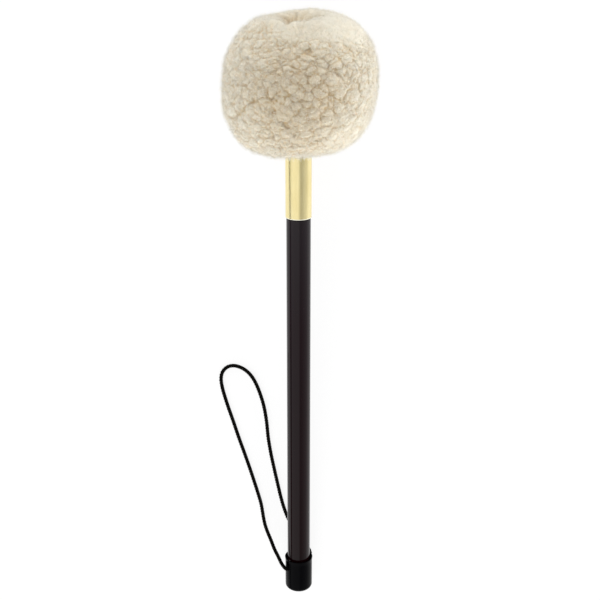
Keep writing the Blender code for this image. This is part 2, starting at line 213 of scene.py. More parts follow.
# The curled pile. Each noise has a size and a salt, a number that places it by chance
HEAD_ROWS, HEAD_COLUMNS = 430, 900
SECTION_STEPS = 4000  # from which the even rows are taken
PILE_STRETCH = np.array([0.93, 0.93, 1.12])  # cells are wider round the head than along it
WARP, CURL, LOBES = (8.0, 11), (3.0, 14), (1.5, 17)
CLUMPS, CURLS = (5.4, 21), (2.6, 31)
CREASES, OPENINGS = (12.0, 41), (4.0, 45)
CALM, SWELL, FLUFF = (20.0, 47), (24.0, 49), (0.9, 51)
CLUMP_BENDS = (3.0, 1.3, 1.1)  # how much of warp, curl and lobes bends the clumps
CURL_BENDS = (1.4, 0.7)  # and of curl and lobes the curls
CREASE_BEND, CREASE_WIDTH = 5.0, 0.07
OPENING = (0.15, 0.5, 0.75)  # of the creases between clumps: least, by noise, and on a crease
CLUMP_HEIGHT, CLUMP_MIDDLE = 1.38, 1.0
CREVICE_DEPTH, CREVICE_WIDTH = 0.65, 0.14
CURL_HEIGHT, CURL_MIDDLE = 0.50, 0.9
CURL_GAP_DEPTH, CURL_GAP_WIDTH = 0.14, 0.12
FLUFF_HEIGHT = 0.28
SWELL_HEIGHT = 0.9
PILE_SINK = 1.0
# The smoother band under the mouth: its edge's slope and sway, where it sets in and its share
CALM_SLOPE, CALM_SWAY, CALM_FROM, CALM_SHARE = 0.20, 5.0, (35.0, 42.0), 0.88
# The smoother flank towards +X and the neck
FLANK_SLOPE, FLANK_FROM, FLANK_SHARE = 0.6, (20.0, 45.0), 0.4
CURL_LEFT = 0.1  # share of the curls that the smoothest places keep
CRACK_WIDTH, CURL_CRACK, CURL_CRACK_WIDTH = 0.10, 0.35, 0.08
CLUMP_TINT, CURL_TINT = 0.48, 0.32
# Lumps: the level between them, their least and chance radius in cells, the power that rounds
# their domes, and how far chance lifts one over the next
LUMP_FLOOR = 0.25
LUMP_REACH, LUMP_CHANCE = 0.70, 0.35
LUMP_ROUND = 0.7
LUMP_LIFT = 0.5

# Painted shade: how tan each point is drawn, for the shade in small and wide dips, in cracks,
# round the mouth and in its pit, and on the upper side, which the light reaches less than the
# sides. A dip has the reaches of its wide and narrow blur, its share of painted shade and the
# depth at which that is full
SHADED_DIPS = ((3, 0, 0.7, 0.6), (7, 1, 0.6, 0.8))
CRACK_SHADE = 0.8
MOUTH_SHADES = ((0.3, 13.0), (0.6, 4.5))
# Painted shade on the upper side, which gets less light than the sides: its share and the facing at
# which it is full
UPPER_SHADE, UPPER_FULL = 0.28, 0.9
UPPER_FADE = (0.012, 0.008)  # towards the sides and towards the ends
LINING_TINT = 0.4

# Loose fibres: how many, which way they lean, how long and thick they are, and their colour,
# with painted shade at the root and painted light towards the tip
PILE_SEED = 5
PILE_BATCHES = 5
PILE_FIBRES = 14000
LOCKS = (4.5, 61)
LEAN_SWIRL, LEAN_CHANCE, LEAN_OUT = 1.2, 0.35, 0.25
FIBRE_LENGTH = (0.5, 1.2)
LONG_SHARE, LONG_TIMES = 0.35, 2.3
SHORTEST = 0.6  # share of its length that a fibre keeps on the smooth band
FIBRE_MIDDLE, FIBRE_BEND = 0.55, 0.25
FIBRE_ROOT = 0.3  # depth of the root in the cover
FIBRE_RADII = (0.055, 0.045, 0.018)
FLOOR_ROOM = 0.3  # no fibre comes nearer to the floor
FIBRE_SHADE = np.array([0.7, 0.15, 0.0])  # share of the cover's painted shade at root, middle and tip
# Painted light: the fibres' tint levels at root, middle and tip, paler towards the tip as if lit
# through from behind
FIBRE_LIT_TINT = np.array([0.5, 0.85, 1.0])
FIBRE_TINT = np.array([0.4, 0.1, 0.0])

# Colours
WHITE = (1.0, 1.0, 1.0)
# The wool's tones by tint; the last stop, which only the fibres' tips reach, is their painted light
WOOL_TOPS = [(0.0, (0.62, 0.55, 0.42)), (0.4, (0.665, 0.60, 0.465))]
WOOL_TOPS += [(0.8, (0.71, 0.65, 0.515)), (1.0, (0.97, 0.945, 0.86))]
WOOL_FLECK = (0.86, 0.85, 0.83)
# Painted shade: the tan that the crevice attribute mixes into the wool where it would lie in shade
WOOL_SHADE = (0.56, 0.365, 0.12)
WOOL_SHEEN = (1.0, 0.98, 0.90)
LACQUER_TONES = [(0.1, (0.0064, 0.0008, 0.0014)), (0.5, (0.0090, 0.0028, 0.0046))]
LACQUER_TONES += [(0.7, (0.0150, 0.0108, 0.0135))]
LACQUER_STREAKS = [(0.3, (0.75, 0.75, 0.75)), (0.7, WHITE)]
HALF_LENGTH = 0.205  # of the lying mallet, in metres

# The camera, from the photograph: its station and height over the handle, its shift
# across, its pitch from straight down on the handle, and its lens on a 36 mm sensor
VIEW_STATION = 487.5
VIEW_HEIGHT = 716.1
VIEW_ACROSS = 0.93
VIEW_PITCH = math.radians(20.3)
LENS = 69.0
SENSOR = 36.0
CLIP = (0.01, 20.0)

# The table, in metres, and how white it is drawn for the camera and in gloss
TABLE_HALF = 3.0
TABLE_WHITE = 0.90
TABLE_GLOW = 1.06
TABLE_GLOW_SHARE = 0.80

# Brightness of the light tent by the angle from straight up towards +X, and at the handle's
# ends, towards which it goes over between two shares of the direction along Y
TENT_LEVELS = [(-90, 0.03), (-80, 0.03), (-74, 1.0), (-2, 1.0), (8, 0.78), (14, 0.40)]
TENT_LEVELS += [(27, 0.40), (42, 0.50), (62, 0.64), (90, 0.8)]
TENT_ENDS = 1.1
TENT_ENDS_FROM = (0.62, 0.95)
TENT_STRENGTH = 2.0  # the ramp holds each level over this, so that it can pass 1

# Side lamps that gloss doesn't see: the turn from +X towards +Y, and the light they add on a
# surface that faces them, where 1 shows a colour as it is written. Lengths are in metres
LAMPS = [(0, 0.66), (180, 0.26), (90, 0.36), (270, 0.58)]
LAMP_REACH = 1.2
LAMP_HEIGHT = 0.14
LAMP_SIZE = 0.5

# Odd numbers that mix a cell's three numbers, its salt and its bits
CELL_MIX = np.array([73856093, 19349663, 83492791])
SALT_MIX = 2654435761
BIT_MIX = 0x45D9F3B
LOW_BITS = 0xFFFFFFFF


def node_points(name):
    """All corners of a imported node, in millimetres."""
    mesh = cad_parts[name].data
    flat = np.empty(len(mesh.vertices) * 3, np.float32)
    mesh.vertices.foreach_get("co", flat)
    return flat.reshape(-1, 3).astype(float) / MM


def handle_directions():
    """Butt point and unit vectors across, along and up: the sleeve's longest spread is along."""
    sleeve = node_points("label_sleeve")
    middle = (sleeve.min(0) + sleeve.max(0)) / 2
    along = np.linalg.svd(sleeve - sleeve.mean(0), full_matrices=False)[2][0]
    along *= np.sign(along[1])
    across = np.array([1.0, 0.0, 0.0])
    up = np.cross(across, along)
    lowest = ((node_points("end_cap") - middle) @ along).min()
    return middle + along * lowest, across, along, up


BUTT, ACROSS, ALONG, UP = handle_directions()
LEAN = math.atan2(ALONG[2], ALONG[1])


def place(across, up, station):
    """Points in metres: the butt plus across, up and station along the handle's own directions."""
    across, up, station = (part[..., None] for part in np.broadcast_arrays(across, up, station))
    return (BUTT + ACROSS * across + UP * up + ALONG * station) * MM


def circles(radius, station, steps):
    """Points on circles round the handle's axis, a row for each radius and station."""
    turn = np.linspace(0.0, math.tau, steps, endpoint=False)
    radius, station = radius[:, None], station[:, None]
    return place(radius * np.sin(turn), radius * np.cos(turn), station)


def smoothstep(value, low, high):
    """0 below low, 1 above high and the S curve 3 t^2 - 2 t^3 between them."""
    t = np.clip((value - low) / (high - low), 0.0, 1.0)
    return t * t * (3.0 - 2.0 * t)


def hashed(cell, salt):
    """An even random share from 0 to 1 for each whole-number cell, by mixing its numbers' bits."""
    mixed = (cell @ CELL_MIX + salt * SALT_MIX) & LOW_BITS
    for _ in range(2):
        mixed = (((mixed >> 16) ^ mixed) * BIT_MIX) & LOW_BITS
    return ((mixed >> 16) ^ mixed) / 2.0**32


def soft_noise(points, size, salt):
    """Smooth noise from 0 to 1: random values at a lattice's corners, blended by S curves."""
    cell = np.floor(points / size).astype(np.int64)
    share = smoothstep(points / size - cell, 0.0, 1.0)
    total = 0.0
    for corner in itertools.product((0, 1), repeat=3):
        weight = np.prod(np.where(np.array(corner) == 1, share, 1.0 - share), axis=-1)
        total = total + weight * hashed(cell + np.array(corner), salt)
    return total


def drift(points, size, salt):
    """A smooth chance shift at each point: one noise for each direction, from -0.5 to 0.5."""
    return np.stack([soft_noise(points, size, salt + axis) for axis in range(3)], -1) - 0.5


def lump_field(points, size, salt):
    """Height of the highest lump at each point, how far it tops the next one, and its own share.

    Each cell of a lattice holds one lump at a chance place: a dome (1 - d^2)^0.7, where d is
    the distance over a chance radius, raised by its share times a lift, so that higher lumps
    lie over their neighbours' edges.
    """
    scaled = points / size
    cell = np.floor(scaled).astype(np.int64)
    best = np.full(points.shape[:-1], LUMP_FLOOR)
    second = best.copy()
    own = np.zeros_like(best)
    for step in itertools.product((-1, 0, 1), repeat=3):
        other = cell + np.array(step)
        jitter = np.stack([hashed(other, salt + axis) for axis in range(3)], axis=-1)
        away = np.linalg.norm(scaled - other - jitter, axis=-1)
        share = hashed(other, salt + 3)
        reach = LUMP_REACH + LUMP_CHANCE * hashed(other, salt + 4)
        dome = np.maximum(1.0 - (away / reach) ** 2, 0.0) ** LUMP_ROUND
        rise = np.where(dome > 0.0, dome + LUMP_LIFT * share, LUMP_FLOOR)
        higher = rise > best
        second = np.where(higher, best, np.maximum(second, rise))
        own = np.where(higher, share, own)
        best = np.maximum(best, rise)
    return best, best - second, own


# Meshes


def linked(name, data):
    """A new object of the scene that holds this data."""
    made = bpy.data.objects.new(name, data)
    bpy.context.scene.collection.objects.link(made)
    return made


def grid_faces(rows, columns, close_rows=False, first=0):
    """Corner numbers of the quads between neighbouring rows, whose columns close to rings."""
    i = np.arange(rows if close_rows else rows - 1)[:, None]
    j = np.arange(columns)[None, :]
    i_next = (i + 1) % rows
    j_next = (j + 1) % columns
    near = [i * columns + j, i * columns + j_next]
    far = [i_next * columns + j_next, i_next * columns + j]
    return np.stack(near + far, axis=-1).reshape(-1, 4) + first


def facing_out(points, quads):
    """The quads, turned round where the volume in them, a . (b x c) + a . (c x d), is negative."""
    centred = points - points.mean(0)
    a, b, c, d = (centred[quads[:, k]] for k in range(4))
    halves = [np.einsum("ij,ij->i", a, np.cross(*pair)).sum() for pair in ((b, c), (c, d))]
    return quads[:, ::-1] if sum(halves) < 0.0 else quads


def mesh_of(name, points, quads, triangles=None, attributes=None):
    """A smooth-shaded mesh object from arrays of points, quads, triangles and point values."""
    corners, starts = quads.ravel(), np.arange(0, quads.size, 4)
    if triangles is not None:
        corners = np.concatenate([corners, triangles.ravel()])
        starts = np.concatenate([starts, quads.size + np.arange(0, triangles.size, 3)])
    mesh = bpy.data.meshes.new(name)
    mesh.vertices.add(len(points))
    mesh.vertices.foreach_set("co", points.astype(np.float32).ravel())
    mesh.loops.add(len(corners))
    mesh.loops.foreach_set("vertex_index", corners.astype(np.int32))
    mesh.polygons.add(len(starts))
    mesh.polygons.foreach_set("loop_start", starts.astype(np.int32))
    mesh.update(calc_edges=True)
    for label, values in (attributes or {}).items():
        layer = mesh.attributes.new(label, "FLOAT", "POINT")
        layer.data.foreach_set("value", values.astype(np.float32).ravel())
    mesh.shade_smooth()
    return linked(name, mesh)


def merged(piece):
    """Closes the poles of a turned piece by merging its doubles, and keeps its edges crisp."""
    bm = bmesh.new()
    bm.from_mesh(piece.data)
    bmesh.ops.remove_doubles(bm, verts=bm.verts, dist=MERGE_DISTANCE)
    bmesh.ops.dissolve_degenerate(bm, edges=bm.edges, dist=SLIVER)
    bmesh.ops.recalc_face_normals(bm, faces=bm.faces)
    bm.to_mesh(piece.data)
    bm.free()
    piece.data.set_sharp_from_angle(angle=SHARP_EDGE)
    return piece


def turned(name, outline):
    """A piece turned round the handle's axis: each outline point (radius, station) is one ring."""
    radius, station = np.array(outline).T
    points = circles(radius, station, TURN_STEPS).reshape(-1, 3)
    quads = grid_faces(len(outline), TURN_STEPS, outline[0][0] > 0.0)
    return merged(mesh_of(name, points, facing_out(points, quads)))


def arc(radius, station, size, first, last, steps):
    """Points of a round corner, as (radius, station), between two angles in degrees."""
    angles = np.radians(np.linspace(first, last, steps + 1))
    return [(radius + size * math.cos(a), station + size * math.sin(a)) for a in angles]


def finish_piece(piece, look, slot, *nodes):
    """Gives a piece its finish and its body, and hides the nodes that it stands for, if any; its
    slot is not used.
    """
    piece.data.materials.clear()
    piece.data.materials.append(look)
    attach(piece, "root")
    if nodes:
        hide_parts(*nodes)


# Materials


def new_material(name):
    """A material whose Principled shader the caller fills in: (material, node tree, shader)."""
    made = bpy.data.materials.new(name)
    made.use_nodes = True
    return made, made.node_tree, made.node_tree.nodes["Principled BSDF"]


def fill(tree, node, inputs):
    """Gives a node's inputs their values: a socket is linked, a number or colour is written."""
    for label, value in inputs.items():
        socket = node.inputs[label]
        if isinstance(value, bpy.types.NodeSocket):
            tree.links.new(value, socket)
        else:
            socket.default_value = (*value, 1.0) if socket.type == "RGBA" else value


def noise_node(tree, scale, detail=4.0, stretch=(1.0, 1.0, 1.0), turn=0.0):
    """Noise on object coordinates, stretched along the handle where asked."""
    where = tree.nodes.new("ShaderNodeTexCoord")
    mapping = tree.nodes.new("ShaderNodeMapping")
    noise = tree.nodes.new("ShaderNodeTexNoise")
    turns = (turn, 0.0, 0.0)
    fill(tree, mapping, {"Vector": where.outputs["Object"], "Rotation": turns, "Scale": stretch})
    fill(tree, noise, {"Vector": mapping.outputs["Vector"], "Scale": scale, "Detail": detail})
    return noise.outputs["Fac"]


def ramp_node(tree, source, stops):
    """A colour ramp fed by a socket: stops are (position, colour)."""
    ramp = tree.nodes.new("ShaderNodeValToRGB")
    while len(ramp.color_ramp.elements) < len(stops):
        ramp.color_ramp.elements.new(0.5)
    for element, (position, colour) in zip(ramp.color_ramp.elements, stops):
        element.position = position
        element.color = (*colour, 1.0)
    fill(tree, ramp, {"Fac": source})
    return ramp.outputs["Color"]


def bump_node(tree, height, shader, depth, strength):
    """Bumps a shader's surface by a socket's value, times a depth in metres."""
    bump = tree.nodes.new("ShaderNodeBump")
    fill(tree, bump, {"Height": height, "Distance": depth, "Strength": strength})
    fill(tree, shader, {"Normal": bump.outputs["Normal"]})


def mix_colour(tree, share, first, second, how="MIX"):
    """Mixes two colours, each a socket or a plain colour, by a socket or a plain share."""
    mix = tree.nodes.new("ShaderNodeMix")
    mix.data_type = "RGBA"
    mix.blend_type = how
    fill(tree, mix, {0: share, 6: first, 7: second})
    return mix.outputs[2]


def attribute_node(tree, label):
    """The mesh's own value of this name at each point."""
    node = tree.nodes.new("ShaderNodeAttribute")
    node.attribute_name = label
    return node.outputs["Fac"]


def math_node(tree, operation, *values):
    """The result of a sum with one or two sockets or numbers."""
    node = tree.nodes.new("ShaderNodeMath")
    node.operation = operation
    fill(tree, node, dict(enumerate(values)))
    return node.outputs[0]


def range_node(tree, value, low, high, how="LINEAR"):
    """A socket's value brought from low and high to 0 and 1."""
    node = tree.nodes.new("ShaderNodeMapRange")
    node.interpolation_type = how
    fill(tree, node, {"Value": value, "From Min": low, "From Max": high})
    return node.outputs[0]


def split_node(tree, output):
    """The X, Y and Z sockets of one of the Texture Coordinate node's outputs."""
    where = tree.nodes.new("ShaderNodeTexCoord")
    parts = tree.nodes.new("ShaderNodeSeparateXYZ")
    fill(tree, parts, {0: where.outputs[output]})
    return parts.outputs


def fleece_material(name, sheen):
    """Cream wool under a fuzzy sheen: each clump has its own tint, and its crevices get painted
    shade in tan.
    """
    made, tree, shader = new_material(name)
    tops = ramp_node(tree, attribute_node(tree, "tint"), WOOL_TOPS)
    flecks = noise_node(tree, scale=700.0, detail=3.0)
    flecked = mix_colour(tree, flecks, WOOL_FLECK, WHITE)
    wool = mix_colour(tree, 1.0, tops, flecked, "MULTIPLY")
    settings = {
        # painted shade: the crevice attribute mixes in tan where the pile would be in shade
        "Base Color": mix_colour(tree, attribute_node(tree, "crevice"), wool, WOOL_SHADE),
        "Roughness": 1.0,
        "Specular IOR Level": 0.1,
        "Sheen Weight": sheen,
        "Sheen Roughness": 1.0,
        "Sheen Tint": WOOL_SHEEN,
        "Subsurface Weight": 0.6,
        "Subsurface Radius": (1.0, 0.8, 0.55),
        "Subsurface Scale": 0.0015,
    }
    fill(tree, shader, settings)
    curls = noise_node(tree, scale=1100.0, detail=3.0)
    bump_node(tree, curls, shader, depth=0.0004, strength=0.8)
    return made


def lacquer_material():
    """Black-brown lacquer, paler towards the head, with a faint orange peel and long streaks."""
    made, tree, shader = new_material("dark_lacquer")
    along = range_node(tree, split_node(tree, "Object")["Y"], -HALF_LENGTH, HALF_LENGTH)
    grain = noise_node(tree, scale=90.0, detail=4.0, stretch=(1.0, 0.06, 1.0), turn=-LEAN)
    streaks = ramp_node(tree, grain, LACQUER_STREAKS)
    colour = mix_colour(tree, 1.0, ramp_node(tree, along, LACQUER_TONES), streaks, "MULTIPLY")
    fill(tree, shader, {"Base Color": colour, "Roughness": 0.07, "IOR": 1.30})
    peel = noise_node(tree, scale=260.0, detail=2.0)
    bump_node(tree, peel, shader, depth=0.00002, strength=0.35)
    return made


def grained_material(name, low, high, settings, depth=0.0001, strength=0.6, **grain):
    """A finish whose colour wanders between two tones with a noise, which also bumps it."""
    made, tree, shader = new_material(name)
    noise = noise_node(tree, **grain)
    tone = ramp_node(tree, noise, [(0.3, low), (0.7, high)])
    fill(tree, shader, {"Base Color": tone, **settings})
    bump_node(tree, noise, shader, depth, strength)
    return made


def dress(name, look):
    """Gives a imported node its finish."""
    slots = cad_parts[name].material_slots
    if not slots:
        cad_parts[name].data.materials.append(look)
    for each in slots:
        each.material = look


# The wrist cord


def smooth_route(corners, step):
    """Points every step or so on the smooth curve through the corners (Catmull-Rom)."""
    corners = np.array(corners)
    padded = np.vstack([2 * corners[0] - corners[1], corners, 2 * corners[-1] - corners[-2]])
    found = [corners[:1]]
    for before, start, end, after in zip(padded, padded[1:], padded[2:], padded[3:]):
        count = max(1, round(np.linalg.norm(end - start) / step))
        t = (np.arange(1, count + 1) / count)[:, None]
        cubic = (2 * start) + (end - before) * t + (2 * before - 5 * start + 4 * end - after) * t**2
        found.append((cubic + (3 * start - before - 3 * end + after) * t**3) / 2)
    return np.vstack(found)


def cord_corners():
    """The route in millimetres: out of the front slot, round the loop, in at the back slot."""
    out = ACROSS * math.sin(SLOT_TURN) + UP * math.cos(SLOT_TURN)
    low = np.cross(ALONG, -out)
    middle = BUTT + ALONG * (SLOT_LOW + CORD_R + GAP)
    leave = [middle + out * reach for reach in (KNOT_LENGTH / 2 + GAP, TUBE_R, CAP_R + CORD_R)]
    enter = [middle - out * reach + low * drop + ALONG * rise for reach, drop, rise in CORD_ENTRY]
    return [*leave, *map(np.array, CORD_ROUTE), *enter], middle + out * CAP_R


def even_path(points, step):
    """The same line with its points an even step apart, and their distances along it."""
    lengths = np.concatenate([[0.0], np.cumsum(np.linalg.norm(np.diff(points, axis=0), axis=1))])
    stations = np.linspace(0.0, lengths[-1], round(lengths[-1] / step) + 1)
    even = [np.interp(stations, lengths, points[:, k]) for k in range(3)]
    return np.stack(even, axis=1), stations


def strand(path, side, over, turn, lift, half_width, half_height, sides):
    """A flat strand's rings, each an ellipse whose middle lies at angle turn and radius lift."""
    angle = np.linspace(0.0, math.tau, sides, endpoint=False)[None, :]
    outward = side * np.cos(turn)[:, None] + over * np.sin(turn)[:, None]
    sideways = over * np.cos(turn)[:, None] - side * np.sin(turn)[:, None]
    middle = path + outward * lift[:, None]
    ring = half_height * np.cos(angle)[..., None] * outward[:, None] + (
        half_width * np.sin(angle)[..., None] * sideways[:, None]
    )
    return middle[:, None] + ring


def end_quads(rings, sides, first):
    """Two quads that close each end of a six-sided tube."""
    last = first + (rings - 1) * sides
    pattern = np.array([[0, 1, 2, 3], [0, 3, 4, 5]])
    return np.vstack([first + pattern[:, ::-1], last + pattern])


def make_cord():
    """An 8-strand braid: four strands wind each way, and each goes over one and under one.

    A strand's angle grows evenly along the path, and its radius rises and falls as a cosine.
    """
    corners, exit_point = cord_corners()
    path, stations = even_path(smooth_route(corners, ROUTE_STEP), BRAID_STEP)
    tangent = np.gradient(path, axis=0)
    tangent /= np.linalg.norm(tangent, axis=1)[:, None]
    side = np.cross(tangent, [0.0, 0.0, 1.0])
    side /= np.linalg.norm(side, axis=1)[:, None]
    over = np.cross(side, tangent)
    weave = np.cos(math.pi * stations / (BRAID_PITCH / (2 * BRAID_CARRIERS)))
    points, faces, count = [], [], 0
    for way in (1, -1):
        for carrier in range(BRAID_CARRIERS):
            turn = way * math.tau * stations / BRAID_PITCH + carrier * math.tau / BRAID_CARRIERS
            lift = STRAND_LIFT + way * STRAND_WEAVE * weave
            rings = strand(path, side, over, turn, lift, *STRAND_HALF, STRAND_SIDES)
            points.append(rings.reshape(-1, 3))
            faces.append(grid_faces(len(path), STRAND_SIDES, first=count))
            faces.append(end_quads(len(path), STRAND_SIDES, count))
            count += rings.shape[0] * STRAND_SIDES
    level = 0 * stations
    core = strand(path, side, over, level, level, CORE_R, CORE_R, CORE_SIDES)[::CORE_STRIDE]
    points.append(core.reshape(-1, 3))
    faces.append(grid_faces(len(core), CORE_SIDES, first=count))
    points, quads = np.vstack(points) * MM, np.vstack(faces)
    piece = mesh_of("wrist_cord_braid", points, facing_out(points, quads))
    finish_piece(piece, BRAID, "black_braid", "wrist_cord")


# The handle's hard pieces


def cut_slots(piece, reach):
    """Cuts the two cord slots straight through a turned piece with a round-ended bar.

    The bar's outline is two half circles joined by straight sides. It runs along the slots'
    direction from -reach to reach.
    """
    half = SLOT_WIDTH / 2
    angles = np.radians(np.linspace(0.0, 180.0, 17))
    across = np.concatenate([half * np.cos(angles), -half * np.cos(angles)])
    high = SLOT_HIGH - half + half * np.sin(angles)
    low = SLOT_LOW + half - half * np.sin(angles)
    out = np.array([-reach, reach])[:, None]
    turned_across = across * math.cos(SLOT_TURN) + out * math.sin(SLOT_TURN)
    turned_up = -across * math.sin(SLOT_TURN) + out * math.cos(SLOT_TURN)
    points = place(turned_across, turned_up, np.concatenate([high, low]))
    ends = np.arange(2 * len(across)).reshape(2, -1)
    mesh = bpy.data.meshes.new("slot_bar")
    sides = grid_faces(2, len(across))
    mesh.from_pydata(points.reshape(-1, 3).tolist(), [], [*ends.tolist(), *sides.tolist()])
    bar = merged(linked("slot_bar", mesh))
    boolean = piece.modifiers.new("slots", "BOOLEAN")
    boolean.operation = "DIFFERENCE"
    boolean.object = bar
    bpy.context.view_layer.update()
    graph = bpy.context.evaluated_depsgraph_get()
    cut = bpy.data.meshes.new_from_object(piece.evaluated_get(graph))
    piece.modifiers.clear()
    piece.data = cut
    bpy.data.objects.remove(bar)
    piece.data.shade_smooth()
    piece.data.set_sharp_from_angle(angle=SHARP_EDGE)


def make_tube():
    """The handle tube with its bore, its ends and the slots that the cord passes."""
    low = CAP_FLOOR + GAP
    bore = TUBE_R - TUBE_WALL
    close = np.linspace(SLOT_LOW - SLOT_ROOM, SLOT_HIGH + SLOT_ROOM, SLOT_RINGS)
    levels = [low, *close, *TUBE_RINGS, TUBE_TOP]
    outline = [(TUBE_R, level) for level in levels] + [(bore, level) for level in reversed(levels)]
    tube = turned("lacquered_handle", outline)
    cut_slots(tube, TUBE_R + SLOT_ROOM)
    finish_piece(tube, LACQUER, "lacquered_tube", "handle_tube")


def make_label():
    """The bare foil sleeve, with softly rounded edges.

    At its lower edge a pale ring stands for the clear film's end and is a painted highlight, and
    a black ring under it is a painted shadow under the sleeve. Each is a thin square-edged ring.
    """
    inner, middle = LABEL_R - LABEL_WALL, LABEL_R - LABEL_ROUND
    outline = arc(middle, LABEL_LOW + LABEL_ROUND, LABEL_ROUND, -90, 0, steps=4)
    outline += arc(middle, LABEL_HIGH - LABEL_ROUND, LABEL_ROUND, 0, 90, steps=4)
    outline += [(inner, LABEL_HIGH), (inner, LABEL_LOW)]
    finish_piece(turned("foil_sleeve", outline), FOIL, "gold_foil", "label_sleeve")
    shadow_near, shadow_far = SHADOW_LINE_RADII
    # painted highlight in the pale ring, painted shadow in the black ring under the sleeve
    for name, look, slot, near, far, below in (
        ("film_edge_highlight", FILM_HIGHLIGHT, "gold_foil", inner, LABEL_R + FILM_STEP, FILM_STEP),
        ("painted_shadow_line", VINYL, "black_vinyl", shadow_near, shadow_far, SHADOW_LINE_LOW),
    ):
        low, high = LABEL_LOW - below, LABEL_LOW + TRIM_HIGH
        ring = turned(name, [(far, low), (far, high), (near, high), (near, low)])
        finish_piece(ring, look, slot)


def make_cap():
    """The cap: a rounded closed end, a straight wall and a thin lip that flares off the tube.

    The flare is an S curve from the lip's foot to just past its rim.
    """
    bore = TUBE_R + GAP
    flare_low = CAP_LENGTH - LIP_HEIGHT
    levels = np.linspace(SLOT_LOW - CAP_STRAIGHT, CAP_LENGTH - LIP_ROUND, CAP_RINGS)
    flare = LIP_FLARE * smoothstep(levels, flare_low, CAP_LENGTH + FLARE_PAST)
    rim = CAP_R + LIP_FLARE
    outline = [(0.0, 0.0)]
    outline += arc(CAP_R - CAP_EDGE, CAP_EDGE, CAP_EDGE, -90, 0, steps=12)
    outline += list(zip(CAP_R + flare, levels))
    outline += arc(rim - LIP_ROUND, CAP_LENGTH - LIP_ROUND, LIP_ROUND, 0, 180, steps=8)
    outline += [(rim - LIP_WALL, CAP_LENGTH - LIP_WALL), (bore, flare_low)]
    outline += [(bore, CAP_FLOOR), (0.0, CAP_FLOOR)]
    cap = turned("vinyl_cap", outline)
    cut_slots(cap, CAP_R + SLOT_ROOM)
    finish_piece(cap, VINYL, "black_vinyl", "end_cap")


# The head


def head_section(rows):
    """(radius, height from the head's middle) down the outside, at even steps from mouth to neck.

    A rounded box turned round the handle: the radius is R sin(a)^(2/p) and the height
    H cos(a)^(2/p), less a bell-shaped dimple round the mouth and a shallow one at the neck.
    """
    a = np.linspace(0.0, math.pi, SECTION_STEPS)
    radius = HEAD_R * np.sin(a) ** (2 / HEAD_POWER)
    height = HEAD_HALF * np.sign(np.cos(a)) * np.abs(np.cos(a)) ** (2 / HEAD_POWER)
    top = a < math.pi / 2
    dimple = DIMPLE_DEPTH * np.exp(-((radius / DIMPLE_R) ** 2))
    tuck = NECK_TUCK * np.exp(-(((radius - TUBE_R) / NECK_TUCK_R) ** 2))
    height = height - np.where(top, dimple, 0.0)
    height = height + np.where(top, 0.0, tuck)
    keep = np.where(top, radius >= MOUTH_R, radius >= LABEL_R + GAP)
    radius, height = radius[keep], height[keep]
    walked = np.concatenate([[0.0], np.cumsum(np.hypot(np.diff(radius), np.diff(height)))])
    even = np.linspace(0.0, walked[-1], rows)
    return np.interp(even, walked, radius), np.interp(even, walked, height)


def lining_section():
    """(radius, height) up the cover's inside, from the neck to the mouth, past both hems.

    It follows the felt pad: the height is H (1 - s^p)^(1/p) at the share s of the radius.
    """
    radius = PAD_R * LINING_SHARES + GAP
    sunk = (LINING_SHARES / LINING_EASE) ** PAD_POWER
    height = PAD_HALF * (1.0 - sunk) ** (1.0 / PAD_POWER) + 3 * GAP
    neck = LABEL_R + GAP
    inner = [(neck, -PAD_HALF - LINING_NECK), (neck, -PAD_HALF - 3 * GAP), *zip(radius, -height)]
    inner += [*zip(radius[::-1], height[::-1]), (LINING_MOUTH_R, PAD_HALF + 3 * GAP)]
    return np.array(inner).T


def blurred(values, reach):
    """The mean over a square of reach steps each way, taken twice and wrapped round the head."""
    steps = range(-reach, reach + 1)
    for axis in (0, 1, 0, 1):
        values = sum(np.roll(values, step, axis) for step in steps) / (2 * reach + 1)
    return values


def surface_normals(points):
    """Unit normals of a closed grid of points, from the cross product of its two tangents."""
    down = np.gradient(points, axis=0)
    round_it = np.roll(points, -1, 1) - np.roll(points, 1, 1)
    normal = np.cross(down, round_it)
    normal /= np.linalg.norm(normal, axis=-1)[..., None] + TINY
    outward = np.einsum("ijk,ijk->ij", normal, points)
    return normal * np.sign(outward.mean())


def lopsided(points):
    """The head's own unevenness: its outline across the handle swells and sinks with the angle.

    The distance from the head's middle, seen square on to the handle, grows by an eased
    blend between HEAD_SWELLS at even angles, and the top tilts towards the upper side.
    """
    across, up, height = points[..., 0], points[..., 1], points[..., 2]
    reach = np.hypot(across, height) + 1e-6
    count = len(HEAD_SWELLS)
    turn = (np.degrees(np.arctan2(height, across)) % 360.0) / (360.0 / count)
    first = np.floor(turn).astype(int)
    swells = np.array(HEAD_SWELLS)
    share = smoothstep(turn - first, 0.0, 1.0)
    swell = swells[first % count] * (1.0 - share) + swells[(first + 1) % count] * share
    swell = swell * smoothstep(reach, *SWELL_FROM)
    tilt = -(HEAD_TILT * up + HEAD_SINK) * smoothstep(height, *TILT_FROM)
    spread = [across + swell * across / reach, up, height + swell * height / reach + tilt]
    return np.stack(spread, axis=-1)


